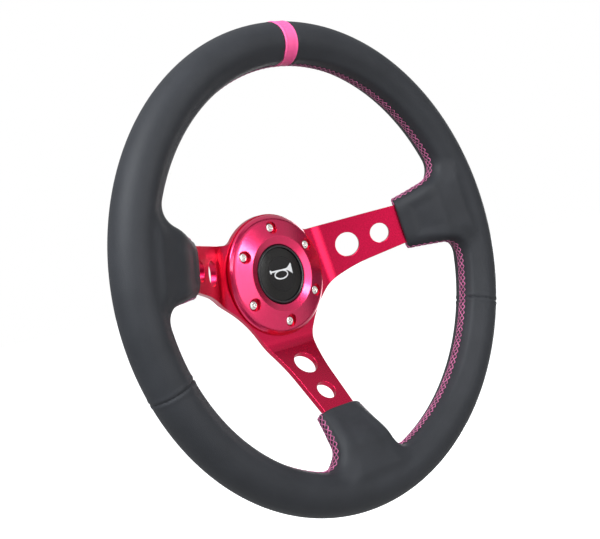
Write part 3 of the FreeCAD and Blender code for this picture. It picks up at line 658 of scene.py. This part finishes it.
def edge_relief(vertices, edges):
    """Height of the leather near the laced seams: groove, folded edges, pulled holes.

    A low swell and a crease run beside each seam, where the leather is drawn tight.
    """
    lines = list(edges.values())
    tree = kdtree.KDTree(sum(len(line[0]) for line in lines))
    owners = []
    for number, (points, _, _) in enumerate(lines):
        for place, point in enumerate(points):
            tree.insert(Vector(point), len(owners))
            owners.append((number, place))
    tree.balance()
    height = np.zeros(len(vertices))
    for number, vertex in enumerate(vertices):
        _, found, gap = tree.find(Vector(vertex))
        if gap > 24:
            continue
        line, place = owners[found]
        points, outward, along = lines[line]
        away = vertex - points[place]
        aside = abs(float(away @ np.cross(along[place], outward[place])))
        deep = math.hypot(aside, min(0.0, float(away @ outward[place])))
        phase = (place % STITCH_STEPS) / STITCH_STEPS
        pull = math.cos(2 * math.pi * phase) * 0.5 + 0.5
        groove = 0.75 * math.exp(-((aside / 0.7) ** 2)) if gap < 4 else 0
        folds = 0.22 * math.exp(-(((aside - 1.7) / 1.0) ** 2))
        holes = 0.3 * (1 + pull) * math.exp(-(((aside - STITCH_REACH) / 0.8) ** 2))
        swell = 0.7 * math.exp(-(((deep - 10.5) / 3.0) ** 2))
        crease = 0.4 * math.exp(-(((deep - 16.0) / 4) ** 2))
        height[number] = folds + (swell - crease) - groove - holes
    return height


# ---------------------------------------------------------------- rim pieces


def make_leather(edges, material):
    """The rim's leather as its three pieces, cut at the cross seams and the centre mark."""
    reach = RING + TUBE + 2
    back = -float(plate_middle(SLEEVE_END)) + 9
    low = (-reach, -RIM_DEPTH - TUBE - 2, -reach)
    high = (reach, back, reach)
    vertices, faces = surface_net(leather_distance, low, high, LEATHER_STEP)
    vertices = settle(leather_distance, vertices)
    normals = slope_of(rim_distance, vertices)
    vertices = vertices + normals * edge_relief(vertices, edges)[:, None]
    whole = new_object("whole_leather", vertices, faces)
    half_mark = math.degrees(MARK_WIDTH / 2 / (RING + TUBE))
    spans = {
        "leather_upper_right": (-SEAM_DROP, 90 - half_mark),
        "leather_upper_left": (90 + half_mark, 180 + SEAM_DROP),
        "leather_lower": (180 + SEAM_DROP, 360 - SEAM_DROP),
    }
    for name, (start, end) in spans.items():
        mesh = bmesh.new()
        mesh.from_mesh(whole.data)
        for angle, hand in ((start, 1), (end, -1)):
            turn = math.radians(angle)
            normal = Vector((-math.sin(turn), 0, math.cos(turn))) * hand
            everything = mesh.verts[:] + mesh.edges[:] + mesh.faces[:]
            bmesh.ops.bisect_plane(
                mesh, geom=everything, dist=1e-6, plane_co=(0, 0, 0), plane_no=normal, clear_inner=True
            )
        data = bpy.data.meshes.new(name + "_skin")
        mesh.to_mesh(data)
        mesh.free()
        data.shade_smooth()
        piece = bpy.data.objects.new(name + "_skin", data)
        bpy.context.scene.collection.objects.link(piece)
        # One piece also stands for the foam, which would show at the sleeves' ends.
        hidden = ["rim_foam"] if name == "leather_lower" else []
        dress(piece, material, replaces=[name] + hidden)
    bpy.data.objects.remove(whole)


def make_centre_mark(material):
    """Bright band round the rim at 12 o'clock, with rolled edges."""
    around, across = 144, 29
    vertices, faces = [], []
    for step in range(across):
        share = 2 * step / (across - 1) - 1
        across_mark = share * MARK_WIDTH / 2
        lip = 0.3 * bump(abs(share), 0.84, 0.12)
        tuck = 0.9 * smooth_step(0.93, 1.0, abs(share))
        radius = TUBE + 0.25 + lip - tuck
        for turn in range(around):
            lean = 2 * math.pi * turn / around
            reach = RING + radius * math.cos(lean)
            up = math.sqrt(reach * reach - across_mark * across_mark)
            vertices.append((across_mark, -RIM_DEPTH + radius * math.sin(lean), up))
    for step in range(across - 1):
        for turn in range(around):
            here = step * around + turn
            beside = step * around + (turn + 1) % around
            faces.append((here, beside, beside + around, here + around))
    band = new_object("centre_mark_band", vertices, faces)
    dress(band, material, replaces=["centre_mark"])


def make_lacing(edges, material):
    """The crossed stitches round each of the three openings."""
    for name, edge in edges.items():
        vertices, faces = tubes(stitch_paths(edge), THREAD)
        stitches = new_object(name + "_stitches", vertices, faces)
        dress(stitches, material, replaces=[name])


# ---------------------------------------------------------------- horn cap's printed sign


def cap_surface(across, up, lift):
    """Point on the cap's crown above a front-view place, lifted towards the driver."""
    front = -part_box("cap_emblem")[0].y / MM
    sphere = CROWN_RADIUS
    fall = sphere - math.sqrt(sphere * sphere - across * across - up * up)
    return (across, -(front - fall + lift), up)


def stroke(line, width, lift=PAINT_LIFT):
    """Flat painted stroke along a front-view line, laid over the crown."""
    line = np.asarray(line, float)
    way = np.gradient(line, axis=0)
    way /= np.linalg.norm(way, axis=1)[:, None]
    side = np.stack([-way[:, 1], way[:, 0]], axis=1)
    width = np.broadcast_to(width, len(line))
    rows = 5
    vertices, faces = [], []
    for spot, aside, wide in zip(line, side, width):
        for row in range(rows):
            offset = (row / (rows - 1) - 0.5) * wide
            edge = 0.0 if 0 < row < rows - 1 else -0.08
            vertices.append(cap_surface(*(spot + aside * offset), lift + edge))
    for step in range(len(line) - 1):
        for row in range(rows - 1):
            here = step * rows + row
            faces.append((here, here + 1, here + rows + 1, here + rows))
    return vertices, faces


def make_horn_sign(material):
    """Plain bugle, the usual sign for a horn."""
    share = np.linspace(0, 1, 40)
    tube = np.stack([-10.2 + 20.4 * share, 2.8 + 0 * share], axis=1)
    bell = 1.3 + 8.6 * smooth_step(0.62, 1.05, share) ** 1.6
    turn = np.linspace(math.pi / 2, math.pi * 5 / 2, 60)
    coil = np.stack([-1.2 + 6.1 * np.cos(turn), -0.3 + 3.1 * np.sin(turn)], axis=1)
    mouth = np.stack([-10.4 + 0 * share[:8], np.linspace(1.4, 4.2, 8)], axis=1)
    vertices, faces = [], []
    strokes = (stroke(tube, bell), stroke(coil, 1.3, PAINT_LIFT - 0.01), stroke(mouth, 1.4))
    for more, quads in strokes:
        first = len(vertices)
        vertices += more
        faces += [tuple(first + corner for corner in quad) for quad in quads]
    sign = new_object("horn_sign", vertices, faces)
    dress(sign, material, body="horn_button")


# ---------------------------------------------------------------- horn spring


def make_spring(material):
    """The horn's return spring, copied into a mesh of its own."""
    source = NODES["horn_spring"]
    points = [source.matrix_world @ vertex.co / MM for vertex in source.data.vertices]
    faces = [tuple(face.vertices) for face in source.data.polygons]
    coil = new_object("horn_spring_coil", points, faces)
    dress(coil, material, replaces=["horn_spring"])
    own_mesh(coil)


# ---------------------------------------------------------------- screws


def make_screws(material):
    """Six button-head socket screws with rolled threads."""
    low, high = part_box("hub_screws")
    head_front, tip = low.y / MM, high.y / MM
    seat = head_front + HEAD_HIGH
    segments = 48
    angles = np.linspace(0, 2 * math.pi, segments, endpoint=False)
    sector = math.pi / 3
    hexagon = SOCKET_HALF_WIDTH / np.cos((angles + sector / 2) % sector - sector / 2)

    # One screw's outline, from the socket's floor over the head to the tip.
    socket = head_front + SOCKET_DEPTH
    rings = [
        (socket + 0.5, 0.02 + 0 * angles),
        (socket, hexagon * 0.97),
        (head_front + 0.15, hexagon),
        (head_front, hexagon * 0.75 + 1.75 * 0.32),
    ]
    dome = ((0.0, 2.2), (0.16, 2.8), (0.5, 3.3), (0.95, 3.68), (1.45, 3.92), (1.8, 4.0), (2.2, 4.0))
    for depth, radius in dome:
        rings.append((head_front + depth, radius + 0 * angles))
    for depth, radius in ((seat, 3.95), (seat, 2.3), (-0.4, 2.25)):
        rings.append((depth, radius + 0 * angles))
    depth = 0.0
    while depth < tip - 0.05:
        phase = (depth / SCREW_PITCH - angles / (2 * math.pi)) % 1.0
        crest = 1 - np.abs(2 * phase - 1)
        fade = min(1.0, (tip - depth) / 0.9)
        rings.append((depth, 2.05 + 0.43 * crest * fade - 0.35 * (1 - fade)))
        depth += 0.1
    for radius in (1.6, 0.02):
        rings.append((tip, radius + 0 * angles))

    vertices, faces = [], []
    for screw in range(SCREWS):
        turn = math.radians(90 + 360 / SCREWS * screw)
        across = SCREW_CIRCLE_RADIUS * math.cos(turn)
        up = SCREW_CIRCLE_RADIUS * math.sin(turn)
        spin = SCREW_SPIN * screw
        first = len(vertices)
        for ring_depth, ring_radius in rings:
            for angle, reach in zip(angles + spin, ring_radius):
                x, z = across + reach * math.cos(angle), up + reach * math.sin(angle)
                vertices.append((x, ring_depth, z))
        for ring in range(len(rings) - 1):
            for step in range(segments):
                here = first + ring * segments + step
                beside = first + ring * segments + (step + 1) % segments
                faces.append((here, here + segments, beside + segments, beside))
    screws = new_object("hub_screws_threaded", vertices, faces)
    dress(screws, material, replaces=["hub_screws"])


# ---------------------------------------------------------------- studio


def make_camera():
    """Camera to the driver's left, close enough for clear perspective, rolled a little."""
    eye = Vector((-0.5565, -0.6698, 0.0164))
    aim = Vector((-0.0138, -0.0487, 0.0010))
    roll = math.radians(CAMERA_ROLL)
    camera = bpy.data.objects.new("camera", bpy.data.cameras.new("camera"))
    bpy.context.scene.collection.objects.link(camera)
    forward = (aim - eye).normalized()
    right = forward.cross(Vector((0, 0, 1))).normalized()
    up = right.cross(forward)
    rolled_right = right * math.cos(roll) - up * math.sin(roll)
    rolled_up = up * math.cos(roll) + right * math.sin(roll)
    camera.matrix_world = Matrix(
        (
            (rolled_right.x, rolled_up.x, -forward.x, eye.x),
            (rolled_right.y, rolled_up.y, -forward.y, eye.y),
            (rolled_right.z, rolled_up.z, -forward.z, eye.z),
            (0, 0, 0, 1),
        )
    )
    camera.data.sensor_width = SENSOR_WIDTH
    camera.data.lens = CAMERA_LENS
    bpy.context.scene.camera = camera


def area_light(name, place, target, size, power, colour=(1, 1, 1)):
    """Soft box in metres and watts, turned towards a target."""
    data = bpy.data.lights.new(name, "AREA")
    data.shape = "RECTANGLE"
    data.size, data.size_y = size
    data.energy = power
    data.color = colour
    light = bpy.data.objects.new(name, data)
    light.location = place
    facing = Vector(target) - Vector(place)
    light.rotation_euler = facing.to_track_quat("-Z", "Y").to_euler()
    bpy.context.scene.collection.objects.link(light)


def stage_sheet(name, level, tone, glow):
    """Wide flat sheet below the wheel, which lights nothing but what reflects it."""
    signs = ((-1, -1), (1, -1), (1, 1), (-1, 1))
    corners = [(x * FLOOR_HALF, y * FLOOR_HALF, level) for x, y in signs]
    sheet = new_object(name, corners, [(0, 1, 2, 3)])
    nodes = Nodes(name)
    shades = [(0.3, (tone - 0.02,) * 3), (0.7, (tone + 0.02,) * 3)]
    sheet.data.materials.append(
        nodes.set(
            Base_Color=nodes.ramp(nodes.noise(3, 2), shades),
            Roughness=0.9,
            Specular_IOR_Level=0.0,
            Emission_Color=(1, 1, 1, 1),
            Emission_Strength=glow,
        )
    )
    sheet.visible_diffuse = False
    return sheet


def make_studio():
    """White surroundings, soft boxes, and a pale floor.

    The metal reflects a darker card just above the floor instead of the floor.
    """
    world = bpy.data.worlds.new("studio")
    bpy.context.scene.world = world
    world.use_nodes = True
    tree = world.node_tree
    tree.nodes.clear()
    output = tree.nodes.new("ShaderNodeOutputWorld")
    seen = tree.nodes.new("ShaderNodeBackground")
    seen.inputs["Color"].default_value = (1, 1, 1, 1)
    lit = tree.nodes.new("ShaderNodeBackground")
    lit.inputs["Color"].default_value = (0.95, 0.97, 1.0, 1)
    way = tree.nodes.new("ShaderNodeTexCoord")
    toward = tree.nodes.new("ShaderNodeVectorMath")
    toward.operation = "DOT_PRODUCT"
    toward.inputs[1].default_value = (-0.50, -0.15, 0.85)
    glow = tree.nodes.new("ShaderNodeMapRange")
    glow.inputs["From Min"].default_value = -1
    glow.inputs["To Min"].default_value = 0.10
    glow.inputs["To Max"].default_value = 0.90
    tree.links.new(way.outputs["Generated"], toward.inputs[0])
    tree.links.new(toward.outputs["Value"], glow.inputs["Value"])
    tree.links.new(glow.outputs["Result"], lit.inputs["Strength"])
    mix = tree.nodes.new("ShaderNodeMixShader")
    path = tree.nodes.new("ShaderNodeLightPath")
    tree.links.new(path.outputs["Is Camera Ray"], mix.inputs["Fac"])
    tree.links.new(lit.outputs["Background"], mix.inputs[1])
    tree.links.new(seen.outputs["Background"], mix.inputs[2])
    tree.links.new(mix.outputs["Shader"], output.inputs["Surface"])

    middle = (0, -0.05, 0)
    area_light("left_box", (-1.15, -0.45, 1.0), middle, (0.9, 1.1), 38, (0.93, 0.97, 1.0))
    area_light("front_box", (-0.02, -1.35, 0.2), middle, (0.8, 1.2), 7)
    area_light("glint_box", (0.29, -1.25, 0.41), middle, (0.2, 0.2), 2.4)
    area_light("right_front_box", (1.1, -1.15, 0.0), middle, (0.7, 1.1), 0.8)
    area_light("right_back_box", (1.3, 0.62, 0.0), middle, (0.8, 0.9), 6)

    level = cad_box[0][2] / MM - FLOOR_DROP
    floor = stage_sheet("floor", level, 0.92, 0.6)
    floor.visible_glossy = False
    bounce = stage_sheet("bounce_card", level + BOUNCE_GAP, 0.36, 0.15)
    bounce.visible_camera = False
    bounce.visible_shadow = False
    bpy.context.scene.view_settings.view_transform = "Standard"


# ---------------------------------------------------------------- build


def build():
    """The whole scene: camera, studio, the CAD nodes' finishes and the made pieces."""
    make_camera()
    make_studio()

    hide = leather("charcoal_leather", (0.0180, 0.0192, 0.0225), (0.0230, 0.0244, 0.0285))
    mark = leather("pink_leather", (0.86, 0.09, 0.28), (0.93, 0.13, 0.34), grain=0.00005)
    lace = thread("pink_thread", (0.17, 0.020, 0.08), (0.56, 0.12, 0.29))
    plate = anodised("anodised_plate", (0.62, 0.004, 0.052), (0.70, 0.006, 0.066), 0.27, 0.3)
    ring = anodised("anodised_ring", (0.76, 0.018, 0.105), (0.82, 0.024, 0.125), 0.26, 0.7)
    bright = bare_metal("bright_steel", (0.82, 0.80, 0.76), 0.2)
    steel = bare_metal("drawn_steel", (0.55, 0.55, 0.57), 0.3)
    brass = bare_metal("stamped_brass", (0.78, 0.56, 0.24), 0.3)
    tin = bare_metal("tinned_brass", (0.74, 0.73, 0.70), 0.32)
    gloss = plastic("gloss_black", (0.012, 0.012, 0.014), 0.2)
    satin = plastic("satin_grey", (0.010, 0.009, 0.008), 0.24, shine=0.3)
    printed = plastic("printed_grey", (0.008, 0.007, 0.007), 0.27, shine=0.3)
    paint = plastic("sign_paint", (0.72, 0.73, 0.74), 0.4)
    phenolic = plastic("brown_phenolic", (0.10, 0.045, 0.02), 0.45)
    rubber = plastic("gasket_rubber", (0.02, 0.02, 0.02), 0.7)
    core = bare_metal("mill_aluminium", (0.62, 0.62, 0.64), 0.38)
    padding = foam("rim_foam", (0.06, 0.06, 0.06))

    finishes = {
        "spoke_plate": plate,
        "trim_ring": ring,
        "rim_core": core,
        "core_rivets": steel,
        "rim_foam": padding,
        "horn_housing": gloss,
        "horn_bezel": gloss,
        "horn_cap": satin,
        "cap_emblem": printed,
        "housing_gasket": rubber,
        "retaining_ring": steel,
        "contact_disc": brass,
        "disc_pin": brass,
        "centre_contact": brass,
        "spring_seat": brass,
        "horn_base": phenolic,
        "horn_terminals": tin,
    }
    for name, material in finishes.items():
        finish_node(name, material)

    edges = {name: trace_edge(angle) for name, angle in EDGES.items()}
    make_leather(edges, hide)
    make_centre_mark(mark)
    make_lacing(edges, lace)
    make_screws(bright)
    make_spring(steel)
    make_horn_sign(paint)


build()
